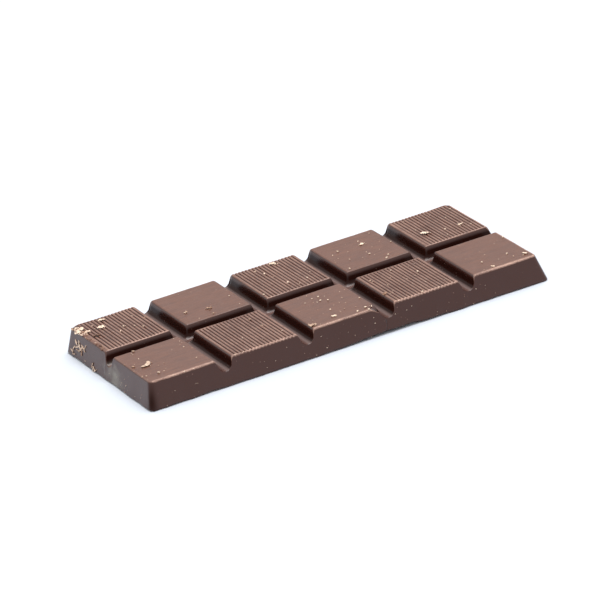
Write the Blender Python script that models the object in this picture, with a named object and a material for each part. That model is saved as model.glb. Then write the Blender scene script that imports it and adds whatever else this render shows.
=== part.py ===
"""A moulded chocolate bar of two rows of five squares, in metres.

The bar is one solid lying on its flat back: X runs along its length, Y across it, and the origin is
the middle of the underside. Squares are plain and ribbed in turn, like a chessboard.
"""

import math

import bmesh
import bpy
from mathutils import Vector

# Squares and the grooves between them, measured at the top of the bar.
RIB_PITCH = 0.00126
RIB_PITCHES_PER_SQUARE = 24
COLUMNS = 5
ROWS = 2
PITCH_X = RIB_PITCHES_PER_SQUARE * RIB_PITCH
SQUARE_X = 0.0241
SQUARE_Y = 0.0272
LONG_GROOVE_MOUTH = 0.0060
PITCH_Y = SQUARE_Y + LONG_GROOVE_MOUTH
CROSS_GROOVE_MOUTH = PITCH_X - SQUARE_X
END_TRIM = 0.00035

# The body and its mould draft: how far each side of the base stands out beyond the top. The origin is
# the middle of the base, so the middle of the top lies a little to one side.
HEIGHT = 0.0093
TOP_LENGTH = COLUMNS * PITCH_X - CROSS_GROOVE_MOUTH - 2 * END_TRIM
TOP_WIDTH = ROWS * PITCH_Y - LONG_GROOVE_MOUTH
LEFT_SLOPE = 0.0023
RIGHT_SLOPE = 0.0030
FRONT_SLOPE = 0.0026
BACK_SLOPE = 0.0018
TOP_CENTRE = Vector(((LEFT_SLOPE - RIGHT_SLOPE) / 2, (FRONT_SLOPE - BACK_SLOPE) / 2, HEIGHT))
BASE_LENGTH = TOP_LENGTH + LEFT_SLOPE + RIGHT_SLOPE
BASE_WIDTH = TOP_WIDTH + FRONT_SLOPE + BACK_SLOPE
CORNER_RADIUS = 0.0017
CORNER_STEPS = 4
TOP_EDGE_RADIUS = 0.0008
BASE_EDGE_RADIUS = 0.0004
BASE_EDGE_STEPS = 2

# U-shaped grooves: straight walls, a round bottom, and a rounded edge at the mouth.
CROSS_GROOVE_DEPTH = 0.00430
LONG_GROOVE_DEPTH = 0.00420
WALL_DRAFT = math.radians(17)
MOUTH_STEPS = 3
BOTTOM_STEPS = 5

# Rib channels, cut into the ribbed squares.
CHANNELS = 18
CHANNEL_DEPTH = 0.00042
CHANNEL_TOP_WIDTH = 0.00058
CHANNEL_FLOOR_WIDTH = 0.00022
CHANNEL_END_RUN = 0.00035
EDGE_TO_CHANNEL_END = 0.00045

# Wear: the front lip beside the third groove, and the top corner at the back of the left end. Each is
# a hollow left by an ellipsoid of these half sizes, whose middle lies off the corner by the offset.
WORN_LIP_COLUMN = 2
WORN_LIP_SIZE = (0.0021, 0.0021, 0.0040)
WORN_LIP_OFFSET = (0.0014, -0.0016, -0.0006)
WORN_LIP_TURN = (0.0, -0.25, 0.0)
WORN_END_SIZE = (0.0021, 0.0030, 0.0019)
WORN_END_OFFSET = (-0.0012, 0.0008, 0.0011)
WORN_END_TURN = (0.0, 0.3, 0.0)

# How far a cutter reaches past what it cuts, and the distance within which points count as level.
CLEARANCE = 0.002
SAME_LEVEL = 1e-6


def make_material(name, colour, roughness):
    material = bpy.data.materials.new(name)
    material.use_nodes = True
    shader = material.node_tree.nodes["Principled BSDF"]
    shader.inputs["Base Color"].default_value = (*colour, 1.0)
    shader.inputs["Roughness"].default_value = roughness
    shader.inputs["Metallic"].default_value = 0.0
    return material


def link(name, mesh, collection):
    piece = bpy.data.objects.new(name, mesh)
    collection.objects.link(piece)
    return piece


def square_centre(column, row):
    """The middle of a square's top, counting columns from the left and rows from the front."""
    return TOP_CENTRE + Vector(
        ((column - (COLUMNS - 1) / 2) * PITCH_X, (row - (ROWS - 1) / 2) * PITCH_Y, 0.0)
    )


def is_ribbed(column, row):
    return (column + row) % 2 == 1


def edges_where(bm, test):
    return [edge for edge in bm.edges if all(test(vert.co) for vert in edge.verts)]


def make_body(collection):
    """A block whose ends and sides lean inwards, with rounded corners and edges."""
    bm = bmesh.new()
    bmesh.ops.create_cube(bm, size=1.0)
    for vert in bm.verts:
        side_x = math.copysign(1, vert.co.x)
        side_y = math.copysign(1, vert.co.y)
        if vert.co.z > 0:
            vert.co = TOP_CENTRE + Vector((side_x * TOP_LENGTH / 2, side_y * TOP_WIDTH / 2, 0.0))
        else:
            vert.co = Vector((side_x * BASE_LENGTH / 2, side_y * BASE_WIDTH / 2, 0.0))
    uprights = [
        edge for edge in bm.edges if abs(edge.verts[0].co.z - edge.verts[1].co.z) > HEIGHT / 2
    ]
    round_edges(bm, uprights, CORNER_RADIUS, CORNER_STEPS)
    top_rim = edges_where(bm, lambda co: co.z > HEIGHT - SAME_LEVEL)
    round_edges(bm, top_rim, TOP_EDGE_RADIUS, MOUTH_STEPS)
    base_rim = edges_where(bm, lambda co: co.z < SAME_LEVEL)
    round_edges(bm, base_rim, BASE_EDGE_RADIUS, BASE_EDGE_STEPS)
    mesh = bpy.data.meshes.new("chocolate_bar")
    bm.to_mesh(mesh)
    bm.free()
    return link("chocolate_bar", mesh, collection)


def round_edges(bm, edges, radius, steps):
    bmesh.ops.bevel(
        bm,
        geom=edges,
        offset=radius,
        offset_type="OFFSET",
        segments=steps,
        profile=0.5,
        affect="EDGES",
        clamp_overlap=True,
    )


def groove_outline(mouth, depth):
    """One half of a groove's section as (across, up) points, from the top of the mouth to the middle.

    The mouth's edge is an arc of TOP_EDGE_RADIUS that starts level with the bar's top. Below it the
    wall leans by WALL_DRAFT, and the bottom is the arc that meets the wall and the floor smoothly.
    """
    half = mouth / 2
    turn = math.pi / 2 - WALL_DRAFT
    tangent = TOP_EDGE_RADIUS * math.tan(turn / 2)
    lean = math.tan(WALL_DRAFT)
    bottom_radius = (half - depth * lean) / (
        math.cos(WALL_DRAFT) - (1 - math.sin(WALL_DRAFT)) * lean
    )
    # The first facet of the edge is carried on outwards, so that it crosses the top at a clear angle.
    first_slope = math.tan(turn / MOUTH_STEPS / 2)
    flare = TOP_EDGE_RADIUS / 2
    points = [
        (half + tangent + flare, HEIGHT + CLEARANCE),
        (half + tangent + flare, HEIGHT + flare * first_slope),
    ]
    for step in range(1, MOUTH_STEPS + 1):
        angle = turn * step / MOUTH_STEPS
        points.append(
            (
                half + tangent - TOP_EDGE_RADIUS * math.sin(angle),
                HEIGHT - TOP_EDGE_RADIUS * (1 - math.cos(angle)),
            )
        )
    for step in range(BOTTOM_STEPS, 0, -1):
        angle = turn * step / BOTTOM_STEPS
        points.append(
            (
                bottom_radius * math.sin(angle),
                HEIGHT - depth + bottom_radius * (1 - math.cos(angle)),
            )
        )
    return points, (0.0, HEIGHT - depth)


def make_groove_cutter(name, mouth, depth, length, collection):
    """A filled 2D curve of the groove's section, extruded along Y, made a mesh and welded."""
    half_outline, lowest = groove_outline(mouth, depth)
    outline = half_outline + [lowest] + [(-x, z) for x, z in reversed(half_outline)]
    curve = bpy.data.curves.new(name + "_section", "CURVE")
    curve.dimensions = "2D"
    curve.fill_mode = "BOTH"
    curve.extrude = length / 2
    spline = curve.splines.new("POLY")
    spline.points.add(len(outline) - 1)
    for point, (x, z) in zip(spline.points, outline):
        point.co = (x, z, 0.0, 1.0)
    spline.use_cyclic_u = True
    guide = link(name + "_guide", curve, collection)
    bpy.context.view_layer.update()
    evaluated = guide.evaluated_get(bpy.context.evaluated_depsgraph_get())
    mesh = bpy.data.meshes.new_from_object(evaluated)
    bpy.data.objects.remove(guide, do_unlink=True)
    bm = bmesh.new()
    bm.from_mesh(mesh)
    bmesh.ops.remove_doubles(bm, verts=bm.verts, dist=SAME_LEVEL)
    bmesh.ops.recalc_face_normals(bm, faces=bm.faces)
    bm.to_mesh(mesh)
    bm.free()
    mesh.name = name
    cutter = link(name, mesh, collection)
    cutter.rotation_euler.x = math.pi / 2
    return cutter


def make_channel_cutter(name, column, row, collection):
    """The rib channels of one square: a row of long wedges, narrower and shorter at the floor."""
    centre = square_centre(column, row)
    half_run = SQUARE_Y / 2 - EDGE_TO_CHANNEL_END
    widen = (CHANNEL_TOP_WIDTH - CHANNEL_FLOOR_WIDTH) / 2 / CHANNEL_DEPTH
    lengthen = CHANNEL_END_RUN / CHANNEL_DEPTH
    above = CLEARANCE / 4
    bm = bmesh.new()
    for channel in range(CHANNELS):
        offset = (channel - (CHANNELS - 1) / 2) * RIB_PITCH
        made = bmesh.ops.create_cube(bm, size=2.0)
        for vert in made["verts"]:
            at_top = vert.co.z > 0
            rise = CHANNEL_DEPTH + above if at_top else 0.0
            half_width = CHANNEL_FLOOR_WIDTH / 2 + widen * rise
            half_length = half_run - CHANNEL_END_RUN + lengthen * rise
            vert.co = centre + Vector(
                (offset + vert.co.x * half_width, vert.co.y * half_length, rise - CHANNEL_DEPTH)
            )
    mesh = bpy.data.meshes.new(name)
    bm.to_mesh(mesh)
    bm.free()
    return link(name, mesh, collection)


def make_wear_cutter(name, middle, size, turn, collection):
    """A turned ellipsoid that takes a worn hollow out of a corner."""
    bm = bmesh.new()
    bmesh.ops.create_icosphere(bm, subdivisions=3, radius=1.0)
    for vert in bm.verts:
        vert.co = Vector([along * half for along, half in zip(vert.co, size)])
    mesh = bpy.data.meshes.new(name)
    bm.to_mesh(mesh)
    bm.free()
    cutter = link(name, mesh, collection)
    cutter.location = middle
    cutter.rotation_euler = turn
    return cutter


def cut(body, cutter):
    modifier = body.modifiers.new(cutter.name, "BOOLEAN")
    modifier.operation = "DIFFERENCE"
    modifier.solver = "EXACT"
    modifier.object = cutter
    cutter.hide_render = True
    cutter.display_type = "WIRE"


def main():
    for old in list(bpy.data.objects):
        bpy.data.objects.remove(old, do_unlink=True)
    scene = bpy.context.scene
    parts = bpy.data.collections.new("chocolate_bar")
    cutters = bpy.data.collections.new("cutters")
    scene.collection.children.link(parts)
    scene.collection.children.link(cutters)

    body = make_body(parts)
    body.data.materials.append(make_material("moulded_chocolate", (0.105, 0.050, 0.038), 0.42))

    groove_length = BASE_WIDTH + 2 * CLEARANCE
    for gap in range(1, COLUMNS):
        groove = make_groove_cutter(
            f"cross_groove_{gap}", CROSS_GROOVE_MOUTH, CROSS_GROOVE_DEPTH, groove_length, cutters
        )
        groove.location.x = TOP_CENTRE.x + (gap - COLUMNS / 2) * PITCH_X
        cut(body, groove)
    long_groove = make_groove_cutter(
        "long_groove",
        LONG_GROOVE_MOUTH,
        LONG_GROOVE_DEPTH,
        BASE_LENGTH + 2 * CLEARANCE,
        cutters,
    )
    long_groove.rotation_euler.z = math.pi / 2
    long_groove.location.y = TOP_CENTRE.y
    cut(body, long_groove)

    for column in range(COLUMNS):
        for row in range(ROWS):
            if is_ribbed(column, row):
                name = f"channels_{column + 1}_{row + 1}"
                cut(body, make_channel_cutter(name, column, row, cutters))

    square = square_centre(WORN_LIP_COLUMN, 0)
    lip = Vector((square.x + SQUARE_X / 2, square.y - SQUARE_Y / 2, HEIGHT))
    cut(
        body,
        make_wear_cutter(
            "worn_lip", lip + Vector(WORN_LIP_OFFSET), WORN_LIP_SIZE, WORN_LIP_TURN, cutters
        ),
    )
    end = TOP_CENTRE + Vector((-TOP_LENGTH / 2, TOP_WIDTH / 2, 0.0))
    cut(
        body,
        make_wear_cutter(
            "worn_end", end + Vector(WORN_END_OFFSET), WORN_END_SIZE, WORN_END_TURN, cutters
        ),
    )


main()
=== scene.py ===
import math

import bpy
import numpy as np
from mathutils import Matrix, Vector


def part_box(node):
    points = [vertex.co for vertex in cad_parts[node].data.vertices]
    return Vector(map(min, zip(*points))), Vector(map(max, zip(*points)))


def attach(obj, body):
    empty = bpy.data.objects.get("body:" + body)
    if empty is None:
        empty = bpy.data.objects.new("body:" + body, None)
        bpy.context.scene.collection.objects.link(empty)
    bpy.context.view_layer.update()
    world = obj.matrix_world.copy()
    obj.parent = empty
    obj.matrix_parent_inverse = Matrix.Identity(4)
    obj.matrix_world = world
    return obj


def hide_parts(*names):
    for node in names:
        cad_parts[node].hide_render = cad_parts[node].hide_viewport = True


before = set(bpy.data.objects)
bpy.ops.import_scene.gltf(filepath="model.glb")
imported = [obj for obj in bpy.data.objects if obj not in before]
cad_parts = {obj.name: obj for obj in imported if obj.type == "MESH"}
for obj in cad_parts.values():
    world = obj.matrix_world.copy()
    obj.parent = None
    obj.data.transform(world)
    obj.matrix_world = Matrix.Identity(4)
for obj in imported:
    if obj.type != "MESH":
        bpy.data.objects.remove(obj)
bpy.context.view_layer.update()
barLow, barHigh = (np.array(corner) * 1000 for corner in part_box("chocolate_bar"))  # shapes here are in mm
print("frame loaded: bar of", np.round(barHigh - barLow, 1), "mm")


def ease(t):
    # 0 below 0, 1 above 1, and 3t^2 - 2t^3 between
    t = np.clip(t, 0.0, 1.0)
    return t * t * (3.0 - 2.0 * t)


def ripple(points, wavelength, seed, waves=14):
    # a sum of sine waves whose directions and phases come from the seed, about -1 to 1
    draw = np.random.default_rng(seed)
    points = np.asarray(points, float)
    directions = draw.normal(size=(waves, points.shape[-1]))
    directions /= np.linalg.norm(directions, axis=1, keepdims=True)
    lengths = wavelength * draw.uniform(0.6, 1.6, waves)
    phases = draw.uniform(0, 2 * math.pi, waves)
    total = np.sin(points @ (directions / lengths[:, None] * 2 * math.pi).T + phases)
    return total.sum(axis=-1) / math.sqrt(waves) * 0.8


def makePiece(name, points, faces, material, attributes=None):
    # points are in mm and faces are lists of corner numbers
    mesh = bpy.data.meshes.new(name)
    mesh.from_pydata((np.asarray(points) / 1000.0).tolist(), [], faces)
    mesh.update()
    mesh.shade_smooth()
    for key, values in (attributes or {}).items():
        layer = mesh.attributes.new(key, "FLOAT", "POINT")
        layer.data.foreach_set("value", np.asarray(values, np.float32).ravel())
    mesh.materials.append(material)
    piece = bpy.data.objects.new(name, mesh)
    bpy.context.scene.collection.objects.link(piece)
    return piece


def linear(hexColour):
    # sRGB hex to the linear colour that a shader takes
    parts = [int(hexColour[i:i + 2], 16) / 255 for i in (1, 3, 5)]
    return [p / 12.92 if p <= 0.04045 else ((p + 0.055) / 1.055) ** 2.4 for p in parts] + [1.0]


def addNode(tree, kind, settings=None, **links):
    # settings are the node's own fields; links are input name = value or another node's output, with
    # n0 for the first input, and so on
    node = tree.nodes.new(kind)
    for key, value in (settings or {}).items():
        setattr(node, key, value)
    for key, value in links.items():
        byNumber = key[0] == "n" and key[1:].isdigit()
        socket = node.inputs[int(key[1:]) if byNumber else key.replace("_", " ")]
        if isinstance(value, bpy.types.NodeSocket):
            tree.links.new(value, socket)
        else:
            socket.default_value = value
    return node


def newMaterial(name, **uniform):
    material = bpy.data.materials.new(name)
    material.use_nodes = True
    shader = material.node_tree.nodes["Principled BSDF"]
    for key, value in uniform.items():
        shader.inputs[key.replace("_", " ")].default_value = value
    return material, material.node_tree, shader


chocolateLook = {
    "side": "#38160d",         # the outer walls: glossy, as they left the mould
    "deep": "#220b06",         # painted shade inside the grooves
    "face": "#67402f",         # tops painted paler: painted light and sheen from overhead
    "streak": "#4e2e22",       # the darker brush marks in them
    "litGrooveFloor": "#5c423c",      # painted light: the level groove floors, paler for the light and sheen they catch
    "paleTanWearAndHighlight": "#b89484",      # pale edges: painted highlight along the rims and ridges, with wear and scratches there
    "endReflection": "#6e675c",        # painted reflection: grey patches on the left end
    "brushMm": (5.0, 0.22),    # length and width of a brush mark
    "mottleMm": 7.0,
    "grainMm": 0.35,
    "speckMm": 1.5,
}


def mouldedChocolate():
    # dark chocolate, cast in a polished mould: dark brown cocoa mass in set cocoa butter, which gives a
    # soft waxy sheen; its tops are painted paler for the overhead light and sheen on them, with fine brush
    # marks along the bar
    look = chocolateLook
    material, tree, shader = newMaterial("mouldedDarkChocolate", Metallic=0.0, IOR=1.5)
    place = addNode(tree, "ShaderNodeTexCoord").outputs["Object"]
    topFace = addNode(tree, "ShaderNodeAttribute", {"attribute_name": "topFace"}).outputs["Fac"]
    # inner carries painted shade: the grooves' insides, and the upright at the front left
    inner = addNode(tree, "ShaderNodeAttribute", {"attribute_name": "inner"}).outputs["Fac"]
    level = addNode(tree, "ShaderNodeAttribute", {"attribute_name": "level"}).outputs["Fac"]
    edgeWearAndHighlight = addNode(tree, "ShaderNodeAttribute", {"attribute_name": "edgeWearAndHighlight"}).outputs["Fac"]
    endReflection = addNode(tree, "ShaderNodeAttribute", {"attribute_name": "endReflection"}).outputs["Fac"]

    def noise(sizeMm, detail=3.0, roughness=0.5):
        # sizeMm is one length, or one for each axis
        size = np.ones(3) * sizeMm
        scaled = addNode(tree, "ShaderNodeMapping", Vector=place, Scale=list(1000.0 / size))
        return addNode(tree, "ShaderNodeTexNoise", Vector=scaled.outputs[0], Scale=1.0,
                       Detail=detail, Roughness=roughness).outputs["Fac"]

    def spread(value, low, high, toLow=0.0, toHigh=1.0):
        return addNode(tree, "ShaderNodeMapRange", {"clamp": True}, Value=value, From_Min=low,
                       From_Max=high, To_Min=toLow, To_Max=toHigh).outputs["Result"]

    def combine(a, b, operation="MULTIPLY"):
        return addNode(tree, "ShaderNodeMath", {"operation": operation}, n0=a, n1=b).outputs[0]

    def blend(factor, a, b):
        node = addNode(tree, "ShaderNodeMix", {"data_type": "RGBA"}, n0=factor, n6=a, n7=b)
        return node.outputs[2]

    brush = noise((look["brushMm"][0], look["brushMm"][1], 2.0), 4.0, 0.6)
    mottle = noise(look["mottleMm"], 3.0, 0.55)
    grain = noise(look["grainMm"], 2.0, 0.6)

    # the tops painted paler, as painted light from overhead, with their brush marks, over deep brown
    marks = spread(brush, 0.36, 0.62)
    streakedLitTopColour = blend(marks, linear(look["streak"]), linear(look["face"]))
    litTopAmount = combine(topFace, spread(mottle, 0.3, 0.7, 0.82, 1.0))
    # painted shade: the grooves' insides blend to the deep colour
    moulded = blend(inner, linear(look["side"]), linear(look["deep"]))
    # painted light: the level floors of the grooves are painted paler, broken up by grain
    moulded = blend(combine(level, spread(grain, 0.2, 0.7, 0.7, 1.0)), moulded, linear(look["litGrooveFloor"]))
    colour = blend(litTopAmount, moulded, streakedLitTopColour)
    # painted highlight with wear on the rims and ridges, broken up by grain and mottle
    edgeWearAndHighlightMix = combine(edgeWearAndHighlight, spread(combine(grain, combine(mottle, 0.6), "ADD"), 0.55, 1.0))
    colour = blend(edgeWearAndHighlightMix, colour, linear(look["paleTanWearAndHighlight"]))
    # painted reflection on the left end, in grey patches
    grey = combine(endReflection, spread(mottle, 0.3, 0.7))
    colour = blend(grey, colour, linear(look["endReflection"]))
    # pale dust, a speck every millimetre or two
    specks = addNode(tree, "ShaderNodeTexVoronoi", {"feature": "F1"}, Vector=place,
                     Scale=1000.0 / look["speckMm"])
    dust = combine(spread(specks.outputs["Distance"], 0.10, 0.05), spread(grain, 0.42, 0.60))
    colour = blend(combine(dust, 0.55), colour, linear(look["paleTanWearAndHighlight"]))
    tree.links.new(colour, shader.inputs["Base Color"])

    sheen = combine(spread(mottle, 0.3, 0.7, 0.20, 0.27), combine(topFace, 0.20), "ADD")
    sheen = combine(sheen, combine(edgeWearAndHighlightMix, 0.2), "ADD")
    tree.links.new(sheen, shader.inputs["Roughness"])
    # light hardly gets in and out of the narrow grooves
    hidden = combine(inner, combine(1.0, level, "SUBTRACT"))
    tree.links.new(spread(hidden, 0.0, 1.0, 0.5, 0.1), shader.inputs["Specular IOR Level"])

    height = combine(combine(brush, topFace), combine(grain, 0.2), "ADD")
    bump = addNode(tree, "ShaderNodeBump", Strength=0.8, Distance=0.00008, Height=height)
    tree.links.new(bump.outputs[0], shader.inputs["Normal"])
    return material


crumbLook = {"dark": "#4a2c22", "mid": "#94705a", "pale": "#e2cab4", "grainMm": 0.5}


def brokenChocolate():
    # crumbs have broken faces, not moulded ones: pale, dry and matt, from tan to gold
    material, tree, shader = newMaterial("brokenChocolateCrumb", Metallic=0.0, IOR=1.45, Roughness=0.7)
    place = addNode(tree, "ShaderNodeTexCoord").outputs["Object"]
    tone = addNode(tree, "ShaderNodeAttribute", {"attribute_name": "tone"}).outputs["Fac"]
    grain = addNode(tree, "ShaderNodeTexNoise", Vector=place, Scale=1000.0 / crumbLook["grainMm"],
                    Detail=3.0).outputs["Fac"]
    mixed = addNode(tree, "ShaderNodeMath", {"operation": "MULTIPLY_ADD"},
                    n0=grain, n1=0.6, n2=tone).outputs[0]
    ramp = addNode(tree, "ShaderNodeValToRGB", Fac=mixed)
    stops = ramp.color_ramp.elements
    stops[0].position = 0.3
    stops[0].color = linear(crumbLook["dark"])
    stops[1].position = 1.0
    stops[1].color = linear(crumbLook["pale"])
    middle = stops.new(0.7)
    middle.color = linear(crumbLook["mid"])
    tree.links.new(ramp.outputs["Color"], shader.inputs["Base Color"])
    bump = addNode(tree, "ShaderNodeBump", Strength=0.5, Distance=0.0001, Height=grain)
    tree.links.new(bump.outputs[0], shader.inputs["Normal"])
    return material


chocolateMaterial = mouldedChocolate()
crumbMaterial = brokenChocolate()
print("materials made")

bar = {
    "columns": 5,
    "rows": 2,
    "pitchX": 30.24,           # 24 rib pitches
    "pitchY": 33.2,
    "squareX": 24.1,
    "squareY": 27.2,
    "grooveDepth": 4.25,
    "draft": math.radians(17),
    "mouthRadius": 0.85,
    "cornerBlend": 0.62,       # how far in plan a square's corner is rounded
    "backBlend": 2.2,          # the same at the back edge, where the corners are rounder
    "backRim": 0.66,           # how far beyond the back edge that rounding is measured from
    "rimRadius": 0.8,
    "lipRadius": 0.35,         # where a groove runs out through a side
    "uprightRadius": 1.7,
    "baseRadius": 0.45,
    "ribPitch": 1.26,
    "channels": 18,
    "channelDepth": 0.42,
    "channelHalf": 0.33,
    "channelFloor": 0.08,
    "channelEnd": 0.45,        # from the square's edge to where a channel starts
    "channelRun": 0.35,
    "crown": 0.035,            # how much lower a ridge's sides are than its middle
    "swell": 0.035,            # long and short swells of the face, and the room left for them
    "fineSwell": 0.012,
    "swellRoom": 0.05,
    "slopeLeft": 2.3,
    "slopeRight": 3.0,
    "slopeFront": 2.6,
    "slopeBack": 1.8,
    "endTrim": 0.35,
}
barHeight = barHigh[2] - barLow[2]
topMiddle = np.array([bar["slopeLeft"] - bar["slopeRight"], bar["slopeFront"] - bar["slopeBack"]]) / 2
topHalf = np.array([
    (bar["columns"] - 1) * bar["pitchX"] / 2 + bar["squareX"] / 2 - bar["endTrim"],
    (bar["rows"] - 1) * bar["pitchY"] / 2 + bar["squareY"] / 2,
])
topLow, topHigh = topMiddle - topHalf, topMiddle + topHalf
grooveHalf = np.array([bar["pitchX"] - bar["squareX"], bar["pitchY"] - bar["squareY"]]) / 2


def squareMiddle(column, row):
    return topMiddle + np.array([(column - 2) * bar["pitchX"], (row - 0.5) * bar["pitchY"]])


def grooveDrop(d):
    # how far the surface lies below the top, d mm out from a square's sharp edge: flat, then an arc of
    # mouthRadius, a wall leaning by the draft, and an arc that is level on the groove's middle line
    half, depth, radius, draft = grooveHalf[0], bar["grooveDepth"], bar["mouthRadius"], bar["draft"]
    lean = math.tan(draft)
    turn = math.pi / 2 - draft
    tangent = radius * math.tan(turn / 2)
    floorRadius = (half - depth * lean) / (math.cos(draft) - (1 - math.sin(draft)) * lean)
    d = np.minimum(d, half)
    mouthEnd = radius * math.sin(turn) - tangent
    floorStart = half - floorRadius * math.sin(turn)
    mouth = radius - np.sqrt(np.maximum(radius ** 2 - (d + tangent) ** 2, 0))
    wall = d / lean
    floor = depth - floorRadius + np.sqrt(np.maximum(floorRadius ** 2 - (half - d) ** 2, 0))
    drop = np.where(d < mouthEnd, mouth, np.where(d < floorStart, wall, floor))
    return np.where(d < -tangent, 0.0, drop)


def nearestSquare(x, y):
    column = np.clip(np.round((x - topMiddle[0]) / bar["pitchX"]) + 2, 0, 4)
    row = (y > topMiddle[1]).astype(float)
    across = x - topMiddle[0] - (column - 2) * bar["pitchX"]
    along = y - topMiddle[1] - (row - 0.5) * bar["pitchY"]
    return column, row, across, along


wear = {
    "lipStart": -3.5,          # from the sharp right edge of the third front square, along the bar
    "lipRun": 4.5,
    "lipDrop": 3.4,
    "lipReach": 4.2,           # how far back from the front rim
    "endDrop": 1.3,
    "endReach": (3.4, 5.0),
}


def wornDrops(x, y):
    # the lip that broke off beside the third groove, and the rubbed corner at the back left
    edge = squareMiddle(2, 0)[0] + bar["squareX"] / 2
    along = np.clip((x - edge - wear["lipStart"]) / wear["lipRun"], 0, 1)
    into = np.clip(1 - (y - topLow[1]) / wear["lipReach"], 0, 1.3)
    inGroove = 1 - ease((x - edge - 1.2) / 1.5)
    lip = wear["lipDrop"] * along ** 1.5 * into ** 1.3 * inGroove
    lip *= 1 + 0.10 * ripple(np.stack([x, y], -1), 1.6, 5)
    away = np.hypot((x - topLow[0]) / wear["endReach"][0], (y - topHigh[1]) / wear["endReach"][1])
    corner = wear["endDrop"] * np.clip(1 - away, 0, 1) ** 1.5
    return np.maximum(lip, 0), corner


def topHeight(x, y):
    # height of the moulded face: the top less the deepest of groove, rib channel and wear
    column, row, across, along = nearestSquare(x, y)
    dx = np.abs(across) - bar["squareX"] / 2
    dx = np.where((column == 0) & (across < 0) | (column == 4) & (across > 0), -9.0, dx)
    dy = np.abs(along) - bar["squareY"] / 2
    dy = np.where((row == 0) & (along < 0), -9.0, dy) * grooveHalf[0] / grooveHalf[1]
    # at the back the squares' corners are rounder, and the back edge itself stays up
    atBack = (row == 1) & (along > 0)
    dy = np.where(atBack, along - bar["squareY"] / 2 - bar["backRim"], dy)
    rounding = np.where(atBack, bar["backBlend"], bar["cornerBlend"])
    power = np.where(atBack, 2.2, 4.0)
    outside = (np.maximum(dx + rounding, 0) ** power + np.maximum(dy + rounding, 0) ** power) ** (1 / power)
    groove = grooveDrop(outside - rounding)

    number = np.round(across / bar["ribPitch"] + (bar["channels"] - 1) / 2)
    number = np.clip(number, 0, bar["channels"] - 1)
    middle = (number - (bar["channels"] - 1) / 2) * bar["ribPitch"]
    beside = np.abs(across - middle)
    section = ease((bar["channelHalf"] - beside) / (bar["channelHalf"] - bar["channelFloor"]))
    fromEnd = bar["squareY"] / 2 - np.abs(along)
    started = ease((fromEnd - bar["channelEnd"]) / bar["channelRun"])
    ribbed = (column + row) % 2
    faint = np.where((column == 0) & (row == 1) & (number == 0), 0.1, 1.0)
    faint = np.where((column == 4) & (row == 1) & (number == 0), 0.35, faint)
    uneven = 1 + 0.10 * np.sin(number * 2.4 + column * 1.7) + 0.12 * ripple(np.stack([x, y], -1), 4.0, 11)
    channel = bar["channelDepth"] * section * started * ribbed * faint * uneven
    # ridges are crowned a little, so a thin light runs along each
    crown = bar["crown"] * ribbed * started * ease((0.5 - np.abs(beside - bar["ribPitch"] / 2)) / 0.5)
    crown = np.where(np.abs(across) < bar["squareX"] / 2 - 0.8, bar["crown"] * ribbed * started - crown, 0)

    lip, corner = wornDrops(x, y)
    drop = np.maximum(np.maximum(groove, lip), channel + crown) + corner
    flat = np.stack([x, y], -1)
    sway = bar["swell"] * ripple(flat, 16.0, 3) + bar["fineSwell"] * ripple(flat, 3.0, 4)
    return barHeight - bar["swellRoom"] - drop + sway


def gridLines():
    # lines across the bar, closer together where the surface turns
    half = grooveHalf[0]
    turn = math.pi / 2 - bar["draft"]
    floorRadius = (half - bar["grooveDepth"] * math.tan(bar["draft"])) / (
        math.cos(bar["draft"]) - (1 - math.sin(bar["draft"])) * math.tan(bar["draft"]))
    arc = half - floorRadius * np.sin(np.linspace(turn, 0, 7))
    steps = np.concatenate([[-0.8, -0.62, -0.48, -0.32, -0.16, 0.0, 0.2, 0.5], arc])
    border = bar["rimRadius"] * 0.76
    low, high = topLow + border, topHigh - border

    channel = np.array([-0.31, -0.2, -0.08, 0.08, 0.2, 0.31, 0.63])
    linesX = [np.array([low[0], high[0]])]
    for column in range(bar["columns"]):
        middle = squareMiddle(column, 0)[0]
        for number in range(bar["channels"]):
            linesX.append(middle + (number - (bar["channels"] - 1) / 2) * bar["ribPitch"] + channel)
        for side in (-1, 1):
            if 0 <= column + side < bar["columns"]:
                linesX.append(middle + side * (bar["squareX"] / 2 + steps))
    crack = squareMiddle(2, 0)[0] + bar["squareX"] / 2 + crackLook["offset"]
    linesX.append(crack + np.array([-0.13, 0.0, 0.13]))
    inner = np.array([0, 0.1, 0.2, 0.35, 0.6, 0.95, 1.35, 1.8, 2.6, 4.0, 6.0])
    linesY = [low[1] + inner, high[1] - inner]
    for row in range(bar["rows"]):
        middle = squareMiddle(0, row)[1]
        linesY.append(middle + np.linspace(-6.5, 6.5, 5))
        side = 1 if row == 0 else -1
        edgeSteps = np.concatenate([[-4.0, -2.2, -1.2, -0.95], steps])
        linesY.append(middle + side * (bar["squareY"] / 2 + edgeSteps))

    def tidy(lines, low, high):
        lines = np.sort(np.concatenate(lines))
        lines = lines[(lines >= low) & (lines <= high)]
        keep = [lines[0]]
        for value in lines[1:-1]:
            if value - keep[-1] > 0.055 and high - value > 0.055:
                keep.append(value)
        return np.array(keep + [high])

    return tidy(linesX, low[0], high[0]), tidy(linesY, low[1], high[1])


crackLook = {"offset": 1.45, "depth": 0.35, "wander": 0.35}

baseLook = {
    "arch": 0.85,              # how far the front edge stands off, at most
    "archMiddle": 14.0,
    "archHalf": 24.0,
    "wave": 0.12,
}


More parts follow.
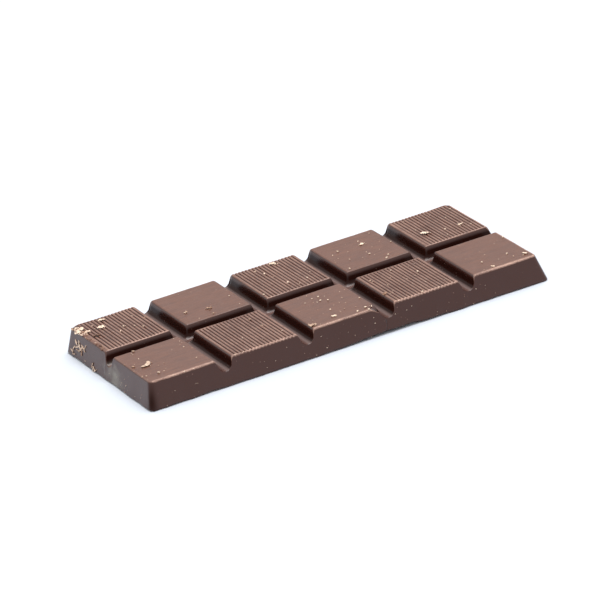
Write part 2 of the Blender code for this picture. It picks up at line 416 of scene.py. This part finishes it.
def outlines(side, along, edgeDistance):
    # the sharp top outline and the base outline, for border points of one side of the bar. Within
    # uprightRadius of a corner both turn through 45 degrees on an arc, and beyond it they run straight.
    radius = bar["uprightRadius"]
    axis = 0 if side in ("front", "back") else 1
    other = 1 - axis
    outward = -1.0 if side in ("front", "left") else 1.0
    topEdge = (topLow if outward < 0 else topHigh)[other]
    baseEdge = (barLow if outward < 0 else barHigh)[other]
    border = bar["rimRadius"] * 0.76
    middle = topMiddle[axis]
    nearLow = along < middle
    sign = np.where(nearLow, -1.0, 1.0)
    topCorner = np.where(nearLow, topLow[axis], topHigh[axis])
    baseCorner = np.where(nearLow, barLow[axis], barHigh[axis])
    t = edgeDistance
    turned = np.clip(1 - t / radius, 0, 1) * math.pi / 4
    straight = ease((t - radius) / 7.0)
    topAlong = np.where(t < radius, topCorner - sign * radius, along + sign * border * (1 - straight))
    baseAlong = topAlong + (baseCorner - topCorner) * (1 - straight)
    result = []
    for edge, position in ((topEdge, topAlong), (baseEdge, baseAlong)):
        line = np.zeros((len(along), 2))
        line[:, axis] = position + sign * radius * np.sin(turned)
        line[:, other] = edge - outward * radius * (1 - np.cos(turned))
        result.append(line)
    return result


def makeBar():
    # a grid of lines over the moulded face, whose border runs on down the sides as rows of points
    linesX, linesY = gridLines()
    gridX, gridY = np.meshgrid(linesX, linesY)
    nx, ny = len(linesX), len(linesY)

    # the border, counter-clockwise from the front left corner
    front = [(0, i) for i in range(nx - 1)]
    right = [(j, nx - 1) for j in range(ny - 1)]
    back = [(ny - 1, i) for i in range(nx - 1, 0, -1)]
    left = [(j, 0) for j in range(ny - 1, 0, -1)]
    loop = np.array(front + right + back + left)
    sides = ["front"] * len(front) + ["right"] * len(right) + ["back"] * len(back) + ["left"] * len(left)
    sides = np.array(sides)
    borderX, borderY = gridX[loop[:, 0], loop[:, 1]], gridY[loop[:, 0], loop[:, 1]]
    topLine, baseLine = np.zeros((len(loop), 2)), np.zeros((len(loop), 2))
    for side in ("front", "right", "back", "left"):
        chosen = sides == side
        along = (borderX if side in ("front", "back") else borderY)[chosen]
        lines = linesX if side in ("front", "back") else linesY
        edgeDistance = np.minimum(along - lines[0], lines[-1] - along)
        topLine[chosen], baseLine[chosen] = outlines(side, along, edgeDistance)

    # the base is uneven, and its front edge is arched
    around = np.stack([baseLine[:, 0], baseLine[:, 1]], -1)
    arch = baseLook["arch"] * ease(1 - np.abs(around[:, 0] - baseLook["archMiddle"]) / baseLook["archHalf"])
    arch *= ease(-around[:, 1] / 20.0)
    lift = np.maximum(arch + baseLook["wave"] * ripple(around, 9.0, 21) + 0.08, 0.0)
    inward = topLine - baseLine
    run = np.linalg.norm(inward, axis=1, keepdims=True)
    inward = inward / run
    baseLine = baseLine + inward * (0.10 + 0.10 * ripple(around, 7.0, 22))[:, None]
    run = np.linalg.norm(topLine - baseLine, axis=1)

    # crease: where the wall meets the moulded face
    crease = topHeight(topLine[:, 0] + inward[:, 0] * 0.6, topLine[:, 1] + inward[:, 1] * 0.6)
    deep = ease((barHeight - crease) / 2.2)
    radius = bar["rimRadius"] * (1 - deep) + bar["lipRadius"] * deep
    angle = np.arctan2(barHeight, run)
    creaseLine = baseLine + (topLine - baseLine) * (crease / barHeight)[:, None]
    border = creaseLine + inward * (radius * np.tan(angle / 2))[:, None]

    # the border moves the grid beside it, less and less over a few mm
    moved = np.zeros((ny, nx, 2))
    shift = border - np.stack([borderX, borderY], -1)
    moved[loop[:, 0], loop[:, 1]] = shift
    reach = 4.0
    nearLeft = (1 - ease((linesX - linesX[0]) / reach))[None, :, None]
    nearRight = (1 - ease((linesX[-1] - linesX) / reach))[None, :, None]
    nearFront = (1 - ease((linesY - linesY[0]) / reach))[:, None, None]
    nearBack = (1 - ease((linesY[-1] - linesY) / reach))[:, None, None]
    pull = (nearFront * moved[:1] + nearBack * moved[-1:]
            + nearLeft * moved[:, :1] + nearRight * moved[:, -1:])
    for nearY, j in ((nearFront, 0), (nearBack, -1)):
        for nearX, i in ((nearLeft, 0), (nearRight, -1)):
            pull = pull - nearY * nearX * moved[j, i]
    gridX, gridY = gridX + pull[..., 0], gridY + pull[..., 1]
    gridZ = topHeight(gridX, gridY)
    gridZ[loop[:, 0], loop[:, 1]] = crease
    points = [np.stack([gridX, gridY, gridZ], -1).reshape(-1, 3)]
    count = nx * ny
    ids = np.arange(count).reshape(ny, nx)
    faces = [np.stack([ids[:-1, :-1], ids[:-1, 1:], ids[1:, 1:], ids[1:, :-1]], -1).reshape(-1, 4)]

    # rows down the side: round the rim, down the wall, round the base edge and in underneath
    def rowAt(flat, height):
        return np.column_stack([flat, height])

    wallRough = 0.03 * ripple(np.column_stack([around, crease]), 5.0, 31)
    rows, rimWearAndHighlightRows = [], []
    for step in np.linspace(0, 1, 7)[1:]:
        tilt = angle * step
        rows.append(rowAt(border - inward * (radius * np.sin(tilt))[:, None],
                          crease - radius * (1 - np.cos(tilt))))
        # painted highlight across the middle of the rim's arc, with wear
        rimWearAndHighlightRows.append((1 - deep) * math.sin(math.pi * min(step * 0.7 + 0.3, 1)))
    rimEnd = rows[-1]
    baseStart = rowAt(baseLine + (topLine - baseLine) * ((lift + bar["baseRadius"]) / barHeight)[:, None],
                      lift + bar["baseRadius"])
    levels = (0.03, 0.12, 0.25, 0.4, 0.55, 0.7, 0.84, 0.95, 1.0)
    for level in levels:
        row = rimEnd + (baseStart - rimEnd) * level
        bulge = wallRough * math.sin(math.pi * level)
        bulge = bulge + 0.02 * ripple(row, 2.5, 33) * math.sin(math.pi * level)
        row[:, :2] -= inward * bulge[:, None]
        rows.append(row)
        rimWearAndHighlightRows.append(np.full(len(loop), 0.0))
    for step in (0.35, 0.7, 1.0):
        tilt = step * math.pi / 2
        flat = baseStart[:, :2] + inward * bar["baseRadius"] * (1 - math.cos(tilt))
        rows.append(rowAt(flat, lift + bar["baseRadius"] * (1 - math.sin(tilt))))
        rimWearAndHighlightRows.append(np.full(len(loop), 0.0))

    # the crack below the third groove, from the lip to the base
    edge = squareMiddle(2, 0)[0] + bar["squareX"] / 2
    onFront = sides == "front"
    for index, row in enumerate(rows[6:], 6):
        down = (index - 6) / (len(rows) - 7)
        near = np.exp(-((row[:, 0] - edge - crackLook["offset"]) / 1.2) ** 2) * onFront
        hit = np.abs(borderX - edge - crackLook["offset"]) < 0.05
        row[:, 1] += crackLook["depth"] * ease(down * 4) * (hit & onFront)
        row[:, 0] += crackLook["wander"] * math.sin(down * 5.0 + 0.4) * near

    size = len(loop)
    previous = ids[loop[:, 0], loop[:, 1]]
    for row in rows:
        points.append(row)
        current = count + np.arange(size)
        count += size
        faces.append(np.stack([previous, current, np.roll(current, -1), np.roll(previous, -1)], -1))
        previous = current
    # underneath, every sixth point is enough: a ring of triangles, rings drawn in to the middle, a fan
    every = 6
    coarse = np.arange(0, size, every)
    underLine = rows[-1]
    ring = underLine[coarse].copy()
    ring[:, :2] += inward[coarse] * 0.8
    ringIds = count + np.arange(len(coarse))
    points.append(ring)
    count += len(coarse)
    triangles = []
    owner = np.minimum(np.arange(size) // every, len(coarse) - 1)
    nextOwner = np.roll(owner, -1)
    nextOwner[-1] = 0
    after = np.roll(previous, -1)
    triangles.append(np.stack([previous, ringIds[owner], after], -1))
    stepUp = owner != nextOwner
    triangles.append(np.stack([after, ringIds[owner], ringIds[nextOwner]], -1)[stepUp])
    for inset in (0.03, 0.08, 0.16, 0.3, 0.5, 0.75):
        nextRing = ring.copy()
        nextRing[:, :2] = topMiddle + (ring[:, :2] - topMiddle) * (1 - inset)
        fade = max(1 - inset / 0.16, 0)
        nextRing[:, 2] = ring[:, 2] * fade + (1 - fade) * (0.12 + 0.1 * ripple(nextRing[:, :2], 12.0, 41))
        nextRing[:, 2] = np.maximum(nextRing[:, 2], 0)
        points.append(nextRing)
        nextIds = count + np.arange(len(coarse))
        count += len(coarse)
        faces.append(np.stack([ringIds, nextIds, np.roll(nextIds, -1), np.roll(ringIds, -1)], -1))
        ringIds = nextIds
    points.append(np.array([[topMiddle[0], topMiddle[1], 0.1]]))
    triangles.append(np.stack([ringIds, np.full(len(ringIds), count), np.roll(ringIds, -1)], -1))

    points = np.concatenate(points)
    quads = np.concatenate(faces).tolist()
    allFaces = quads + np.concatenate(triangles).tolist()

    # what the material reads: the tops (painted paler for the light on them), the grooves' insides (painted
    # shade), the level places in them (painted lighter), the edges (painted highlight with wear) and the
    # grey patch on the left end (painted reflection)
    x, y, z = points.T
    column, row, _, along = nearestSquare(x, y)
    topFace = ease((z - (barHeight - 0.36)) / 0.26)
    onFace = np.arange(len(points)) < nx * ny
    # inner: painted shade, darker the deeper a point lies below the top face
    inner = ease((barHeight - z - 0.6) / 1.2) * onFace
    step = 0.1
    slope = np.hypot(topHeight(x + step, y) - topHeight(x - step, y),
                     topHeight(x, y + step) - topHeight(x, y - step)) / (2 * step)
    # level: where the groove floors lie flat, painted lighter for the light they catch
    level = ease((0.75 - slope) / 0.5) * ease((barHeight - z - 2.5) / 1.0) * onFace
    edgeWearAndHighlight = np.zeros(len(points))
    start = nx * ny
    for index, amount in enumerate(rimWearAndHighlightRows):
        edgeWearAndHighlight[start + index * size:start + (index + 1) * size] = amount
    # painted highlight with wear along the rim's top edge
    edgeWearAndHighlight[ids[loop[:, 0], loop[:, 1]]] = 0.8 * (1 - deep)
    # painted reflection: a grey patch on the middle of the left end
    endReflectionAt = ease(1.35 - np.hypot(y + 4.2, (z - 2.8) * 2.0) / 7.0
                   + 0.3 * ripple(np.stack([y, z], -1), 3.0, 51)) * (x < barLow[0] + 4)
    # painted highlight where the channels start at the front of each ribbed square
    ridgeEnd = np.exp(-((-along - bar["squareY"] / 2 + 0.45) / 0.3) ** 2) * onFace * ((column + row) % 2)
    edgeWearAndHighlight = np.maximum(edgeWearAndHighlight, ridgeEnd * topFace)
    # painted highlight with wear: the front rim is painted pale well in from its edge, the left one hardly
    # at all
    fromFront = y - topLow[1]
    edgeWearAndHighlight = np.maximum(edgeWearAndHighlight, 0.75 * ease(1.4 - fromFront / 1.0) * topFace * onFace)
    # painted highlight on the ridge tops
    ridges = ease((z - (barHeight - 0.16)) / 0.08) * ((column + row) % 2) * onFace
    edgeWearAndHighlight = np.maximum(edgeWearAndHighlight, 0.35 * ridges)
    edgeWearAndHighlight = edgeWearAndHighlight * np.where(x < topLow[0] + 1.0, 0.15, 1.0)
    # painted shade: the upright edge at the front left is darker than the walls beside it
    upright = np.exp(-(np.hypot(x - barLow[0] - 1.2, y - barLow[1] - 1.2) / 1.7) ** 2)
    inner = np.maximum(inner, upright * (1 - topFace))
    piece = makePiece("mouldedBar", points, allFaces, chocolateMaterial,
                      {"topFace": topFace, "inner": inner, "level": level, "edgeWearAndHighlight": edgeWearAndHighlight,
                       "endReflection": endReflectionAt})
    print("bar:", nx, "by", ny, "lines,", len(quads) + len(allFaces), "triangles")
    return piece


mouldedBar = makeBar()
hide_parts("chocolate_bar")
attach(mouldedBar, "root")

# crumbs, flakes and slivers where they lie, as (column, row, mm from the square's middle, mm long, tone)
crumbs = {
    "flakes": [
        (0, 0, -6.3, -0.1, 4.5, 0.55), (0, 1, -4.3, 5.3, 2.8, 0.7), (0, 1, -1.6, 10.5, 2.2, 0.7),
        (0, 1, -10.4, 8.4, 3.0, 0.8), (0, 1, -12.0, 6.7, 2.4, 0.75), (0, 1, -9.2, 5.1, 2.0, 0.6),
        (0, 1, -8.3, 0.1, 2.6, 0.15), (1, 1, -0.1, -6.9, 1.8, 0.4), (1, 1, -7.8, -4.6, 1.2, 0.5),
        (2, 1, 2.9, 11.0, 2.6, 0.75), (4, 0, 9.6, -9.8, 1.8, 0.8), (4, 1, -6.8, -3.4, 3.0, 0.85),
        (4, 1, 6.0, -5.5, 1.6, 0.8), (3, 0, -11.5, -5.8, 2.2, 0.35), (2, 0, -11.1, -11.0, 2.4, 0.5),
        (3, 1, 2.9, 3.9, 1.8, 0.95), (4, 0, -3.8, -11.7, 1.4, 0.6), (2, 0, -2.5, -9.6, 1.5, 0.95),
    ],
    "lumps": [
        (0, 0, -5.9, -8.6, 0.9, 0.6), (0, 0, -10.4, 1.3, 0.9, 0.4), (0, 0, -4.8, 12.6, 0.9, 0.5),
        (0, 1, 1.9, 0.4, 0.7, 0.6), (0, 1, -0.7, -2.5, 0.6, 0.6), (0, 1, 6.8, -4.4, 0.7, 0.6),
        (0, 1, 4.9, -1.8, 0.5, 0.6), (0, 1, 10.5, 2.0, 0.5, 0.5), (1, 0, 5.8, 8.1, 0.6, 0.5),
        (1, 0, 6.6, 0.8, 0.5, 0.5), (1, 1, -1.0, -11.7, 0.6, 0.5), (2, 0, -4.6, 6.5, 0.6, 0.9),
        (2, 0, -1.2, 8.1, 0.5, 0.8), (2, 0, 1.2, 8.3, 0.5, 0.8), (2, 0, 0.3, 5.0, 0.7, 0.9),
        (2, 0, 2.3, 3.4, 0.8, 1.0), (2, 0, -0.7, -3.9, 0.5, 0.7), (2, 0, 5.3, -11.7, 0.7, 0.8),
        (2, 0, 8.8, -10.8, 0.8, 0.8), (2, 0, 8.8, -13.1, 0.7, 0.9), (2, 0, 11.1, -2.3, 0.5, 0.8),
        (2, 0, 10.9, -11.0, 0.6, 0.7), (2, 1, -4.8, 9.3, 0.6, 0.7), (2, 1, -3.3, 5.3, 0.7, 0.9),
        (2, 1, -0.7, -6.7, 0.6, 0.8), (2, 1, 6.0, -8.1, 0.6, 0.8), (2, 1, -11.5, -10.2, 0.7, 1.0),
        (3, 0, -9.8, 7.4, 0.6, 0.6), (3, 0, -0.5, 10.2, 0.5, 0.7), (3, 0, 5.8, 2.9, 0.5, 0.7),
        (3, 0, -1.2, -13.1, 0.7, 1.0), (3, 1, -6.1, 4.1, 0.6, 0.7), (3, 1, -6.3, -4.8, 0.5, 0.7),
        (3, 1, 1.0, -5.3, 0.6, 0.8), (3, 1, 5.5, -10.5, 0.6, 0.8), (3, 1, 3.6, -12.6, 0.7, 0.8),
        (3, 1, -10.0, -11.7, 0.6, 0.7), (3, 1, 11.4, -1.5, 0.6, 0.8), (4, 0, -4.8, -6.0, 0.6, 0.7),
        (4, 0, 4.9, -5.8, 0.6, 0.7), (4, 1, -0.1, -5.5, 0.6, 0.8), (4, 1, 9.8, 8.8, 0.7, 0.6),
        (4, 0, 10.9, 7.4, 0.7, 0.6),
    ],
    # slivers stuck to the left end, as (y, z, length, tilt in degrees, tone)
    "slivers": [
        (19.5, 5.2, 3.4, 25, 0.55), (21.0, 4.6, 3.8, -40, 0.6), (22.5, 5.4, 3.2, 60, 0.7),
        (24.0, 4.4, 3.0, -20, 0.6), (20.6, 3.8, 2.6, 80, 0.45), (25.0, 5.6, 2.6, 40, 0.6),
        (23.2, 3.4, 2.4, 5, 0.5), (26.5, 3.2, 2.4, -55, 0.65), (27.5, 2.0, 2.2, 30, 0.6),
        (26.0, 1.4, 1.8, -10, 0.55), (18.2, 6.0, 1.8, -60, 0.6),
        (12.0, 2.0, 2.0, -70, 0.5), (10.6, 1.2, 2.2, 30, 0.6), (9.6, 0.9, 1.8, -35, 0.65),
        (11.2, 0.7, 1.4, 75, 0.6),
    ],
    "topGrains": 150,
    "rimGrains": 34,
    "endBits": 46,
    "cornerBits": 34,
    "sideGrains": 46,
    "flakeThick": 0.12,
    "sliverThick": 0.09,
}


def turned(points, yaw, pitch, roll):
    # rolled about x, pitched about y and turned about z, in that order
    for angle, (a, b) in ((roll, (1, 2)), (pitch, (2, 0)), (yaw, (0, 1))):
        points = points.copy()
        points[:, a], points[:, b] = (points[:, a] * math.cos(angle) - points[:, b] * math.sin(angle),
                                      points[:, a] * math.sin(angle) + points[:, b] * math.cos(angle))
    return points


def lump(size, seed):
    # a ball of five rings of seven points, each point's radius drawn at random, then flattened
    draw = np.random.default_rng(seed)
    rings, around = 5, 7
    rise = np.linspace(-1.2, 1.2, rings)[:, None]
    turn = np.arange(around)[None, :] * 2 * math.pi / around + 0.4 * np.arange(rings)[:, None]
    radius = 1 + 0.28 * draw.normal(size=(rings, around))
    ball = np.stack([np.cos(rise) * np.cos(turn) * radius, np.cos(rise) * np.sin(turn) * radius,
                     np.sin(rise) * radius], -1).reshape(-1, 3)
    ball = np.concatenate([[[0, 0, -0.8]], ball, [[0, 0, 0.9]]])
    ball *= size / 2 * np.array([1.0, draw.uniform(0.5, 0.9), draw.uniform(0.35, 0.65)])
    ids = 1 + np.arange(rings * around).reshape(rings, around)
    after = np.roll(ids, -1, 1)
    faces = np.stack([ids[:-1], after[:-1], after[1:], ids[1:]], -1).reshape(-1, 4).tolist()
    last = len(ball) - 1
    faces += [[0, b, a] for a, b in zip(ids[0].tolist(), after[0].tolist())]
    faces += [[last, a, b] for a, b in zip(ids[-1].tolist(), after[-1].tolist())]
    return ball, faces


def flake(length, width, thick, curl, seed):
    # a thin plate: an outline that wanders, its middle line bent by curl, and a rough top and bottom
    draw = np.random.default_rng(seed)
    u, v = np.meshgrid(np.linspace(-1, 1, 10), np.linspace(-1, 1, 5), indexing="ij")
    reachOut = 1.05 - 0.45 * np.abs(u) ** 2.5 + 0.2 * draw.normal(size=(10, 1))
    x = u * length / 2 * (1 + 0.10 * draw.normal(size=(1, 5)))
    y = v * width / 2 * np.maximum(reachOut, 0.15) + 0.12 * width * np.sin(u * 3 + seed)
    z = curl * length * 0.25 * (u ** 2 - 0.4) + thick * 0.9 * draw.normal(size=u.shape)
    edge = np.minimum(1 - np.abs(u), 1 - np.abs(v))
    half = thick * (0.25 + 0.75 * np.minimum(edge * 3, 1)) * draw.uniform(0.7, 1.3, u.shape)
    points = np.concatenate([np.stack([x, y, z + half], -1).reshape(-1, 3),
                             np.stack([x, y, z - half], -1).reshape(-1, 3)])
    ids = np.arange(50).reshape(10, 5)
    upper = np.stack([ids[:-1, :-1], ids[1:, :-1], ids[1:, 1:], ids[:-1, 1:]], -1).reshape(-1, 4)
    lower = upper[:, ::-1] + 50
    rim = np.concatenate([ids[:-1, 0], ids[-1, :-1], ids[:0:-1, -1], ids[0, :0:-1]])
    after = np.roll(rim, -1)
    walls = np.stack([after, rim, rim + 50, after + 50], -1)
    return points, np.concatenate([upper, lower, walls]).tolist()


def gather(shapes):
    # one list of points and faces, and a tone for each point
    points, faces, tones, count = [], [], [], 0
    for shapePoints, shapeFaces, tone in shapes:
        points.append(shapePoints)
        faces += [[corner + count for corner in face] for face in shapeFaces]
        tones.append(np.full(len(shapePoints), tone))
        count += len(shapePoints)
    return np.concatenate(points), faces, np.concatenate(tones)


def onTop(x, y):
    # the height of the face there, without dropping into a rib channel
    return max(float(topHeight(x + d, y)) for d in (-0.45, 0.0, 0.45))


def makeCrumbs():
    draw = np.random.default_rng(77)
    lumps, flakes = [], []

    def addLump(x, y, z, size, tone, seat=0.2):
        shape, faces = lump(size, len(lumps) + 100)
        shape = turned(shape, draw.uniform(0, 6.3), draw.uniform(-0.4, 0.4), draw.uniform(-0.4, 0.4))
        lumps.append((shape + [x, y, z + size * seat], faces, tone))

    for column, row, dx, dy, size, tone in crumbs["lumps"]:
        x, y = squareMiddle(column, row) + (dx, dy)
        addLump(x, y, onTop(x, y), size * 1.25, tone)
    for column, row, dx, dy, size, tone in crumbs["flakes"]:
        x, y = squareMiddle(column, row) + (dx, dy)
        for part in range(2 if size > 2 else 1):
            scale = size * (1.0 if part == 0 else 0.55)
            shape, faces = flake(scale, scale * draw.uniform(0.42, 0.62), crumbs["flakeThick"],
                                 draw.uniform(-0.4, 0.4), len(flakes) + 300)
            shape = turned(shape, draw.uniform(-0.9, 0.9), draw.uniform(-0.15, 0.15),
                           draw.uniform(-0.3, 0.3))
            shape += [x + part * draw.uniform(-0.4, 0.4), y + part * draw.uniform(-0.4, 0.4), 0]
            # its lowest point sinks halfway in, and a second flake lies on the first
            low = onTop(x, y) - shape[:, 2].min()
            rise = low * 0.5 + onTop(x, y) * 0.5 + 0.08 + 0.15 * part
            flakes.append((shape + [0, 0, rise], faces, tone))
        for bit in range(3):
            bx, by = x + draw.normal() * size * 0.35, y + draw.normal() * size * 0.35
            addLump(bx, by, onTop(bx, by), draw.uniform(0.3, 0.6), tone + draw.uniform(-0.2, 0.2))

    # a patch of crumbs over the rubbed corner at the back left
    for number in range(crumbs["cornerBits"]):
        x, y = squareMiddle(0, 1) + (-11.0, 7.5) + draw.normal(size=2) * (1.3, 2.2)
        x = max(x, topLow[0] - 0.2)
        z = onTop(max(x, topLow[0] + 0.8), y) - 0.1
        addLump(x, y, z, draw.uniform(0.35, 1.1), draw.uniform(0.3, 1.0), 0.1)
    # fine grains on the tops, thicker towards the right
    for number in range(crumbs["topGrains"]):
        column, row = int(draw.choice(5, p=[0.12, 0.12, 0.26, 0.26, 0.24])), int(draw.integers(2))
        x, y = squareMiddle(column, row) + (draw.uniform(-11.3, 11.3), draw.uniform(-12.8, 12.8))
        addLump(x, y, onTop(x, y), 0.22 + 0.25 * draw.random() ** 2, draw.uniform(0.45, 1.0))
    # grains along the front rim, where the squares were knocked
    for number in range(crumbs["rimGrains"]):
        column = int(draw.choice(5, p=[0.1, 0.2, 0.3, 0.2, 0.2]))
        x = squareMiddle(column, 0)[0] + draw.uniform(-11, 11)
        y = topLow[1] + draw.uniform(0.0, 0.8)
        z = onTop(x, topLow[1] + 0.8) - 0.12
        addLump(x, y, z, draw.uniform(0.25, 0.55), draw.uniform(0.5, 1.0), 0.0)
    # broken bits along the rim of the left end, one in four of them on the front square
    for number in range(crumbs["endBits"]):
        y = squareMiddle(0, 1)[1] + (draw.uniform(-13.5, 12.5) if number % 4 else draw.uniform(-45, -22))
        x = topLow[0] + draw.uniform(-0.1, 1.3)
        z = onTop(topLow[0] + 1.0, y) - 0.15
        addLump(x, y, z, draw.uniform(0.4, 1.5 if number % 4 else 0.7), draw.uniform(0.05, 0.55), 0.0)
    # specks stuck to the front, and one in three to the left end
    for number in range(crumbs["sideGrains"]):
        z = draw.uniform(0.6, 7.0)
        if number % 3:
            x = draw.uniform(-70, 70)
            y = barLow[1] + bar["slopeFront"] * z / barHeight
        else:
            y = draw.uniform(-26, 28)
            x = barLow[0] + bar["slopeLeft"] * z / barHeight
        addLump(x, y, z, draw.uniform(0.18, 0.42), draw.uniform(0.4, 0.9), 0.0)
    # slivers on the left end
    for y, z, length, tilt, tone in crumbs["slivers"]:
        shape, faces = flake(length, length * 0.16, crumbs["sliverThick"], draw.uniform(-0.3, 0.3),
                             len(flakes) + 300)
        shape = turned(shape, 0, 0, math.pi / 2)
        shape = turned(shape, math.pi / 2, 0, 0)
        angle = math.radians(tilt)
        shape[:, 1], shape[:, 2] = (shape[:, 1] * math.cos(angle) - shape[:, 2] * math.sin(angle),
                                    shape[:, 1] * math.sin(angle) + shape[:, 2] * math.cos(angle))
        x = barLow[0] + bar["slopeLeft"] * (z + shape[:, 2]) / barHeight
        shape[:, 0] += x - 0.1
        flakes.append((shape + [0, y, z], faces, tone))

    pieces = []
    for name, shapes in (("chocolateCrumbs", lumps), ("chocolateFlakes", flakes)):
        points, faces, tones = gather(shapes)
        points[:, 0] = np.clip(points[:, 0], barLow[0] - 0.4, barHigh[0] + 0.4)
        points[:, 1] = np.clip(points[:, 1], barLow[1] - 0.3, barHigh[1] + 0.3)
        points[:, 2] = np.clip(points[:, 2], 0.02, barHigh[2] + 0.35)
        pieces.append(makePiece(name, points, faces, crumbMaterial, {"tone": tones}))
        print(name + ":", len(shapes), "pieces,", sum(len(face) - 2 for face in faces), "triangles")
    return pieces


for crumbPiece in makeCrumbs():
    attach(crumbPiece, "root")

studio = {
    "backdrop": "#ffffff",
    "backdropStrength": 1.0,
    "floor": "#c3c8d0",
    "floorReach": 3.0,         # this and what follows in metres
    "floorHeight": -2e-5,
    "overhead": {"place": (0.15, 0.10, 1.15), "size": 0.9, "power": 15.5},
    "view": {"turn": -24.58, "rise": 23.16, "roll": -8.0, "away": 1.78736, "lens": 320.69,
             "lookAt": (0.003571, 0.012619, 0.000629)},
}


def makeStudio():
    world = bpy.data.worlds.new("paleStudio")
    bpy.context.scene.world = world
    world.use_nodes = True
    background = world.node_tree.nodes["Background"]
    background.inputs["Color"].default_value = linear(studio["backdrop"])
    background.inputs["Strength"].default_value = studio["backdropStrength"]

    # a matt paper sweep: it lights the walls from below and keeps only a soft shadow at the base
    paper = newMaterial("mattPaperFloor", Roughness=0.9, Base_Color=linear(studio["floor"]))[0]
    reach, height = studio["floorReach"], studio["floorHeight"]
    corners = [(-reach, -reach), (reach, -reach), (reach, reach), (-reach, reach)]
    mesh = bpy.data.meshes.new("floor")
    mesh.from_pydata([(x, y, height) for x, y in corners], [], [(0, 1, 2, 3)])
    mesh.materials.append(paper)
    floor = bpy.data.objects.new("floor", mesh)
    bpy.context.scene.collection.objects.link(floor)

    lamp = studio["overhead"]
    data = bpy.data.lights.new("overheadSoftbox", "AREA")
    data.size = lamp["size"]
    data.energy = lamp["power"]
    softbox = bpy.data.objects.new("overheadSoftbox", data)
    softbox.location = lamp["place"]
    softbox.rotation_euler = (Vector((0, 0, 0)) - softbox.location).to_track_quat("-Z", "Y").to_euler()
    bpy.context.scene.collection.objects.link(softbox)


def makeCamera():
    view = studio["view"]
    turn, rise, roll = (math.radians(view[key]) for key in ("turn", "rise", "roll"))
    back = Vector((math.sin(turn) * math.cos(rise), -math.cos(turn) * math.cos(rise), math.sin(rise)))
    across = (-back).cross(Vector((0, 0, 1))).normalized()
    upright = across.cross(-back)
    tiltedAcross = math.cos(roll) * across + math.sin(roll) * upright
    tiltedUpright = math.cos(roll) * upright - math.sin(roll) * across
    data = bpy.data.cameras.new("studioCamera")
    data.lens = view["lens"]
    data.sensor_width = 36.0
    data.clip_end = 20.0
    camera = bpy.data.objects.new("studioCamera", data)
    place = Matrix((tiltedAcross, tiltedUpright, back)).transposed().to_4x4()
    place.translation = Vector(view["lookAt"]) + back * view["away"]
    camera.matrix_world = place
    bpy.context.scene.collection.objects.link(camera)
    bpy.context.scene.camera = camera


makeStudio()
makeCamera()
bpy.context.scene.view_settings.view_transform = "Standard"
print("studio and camera made")
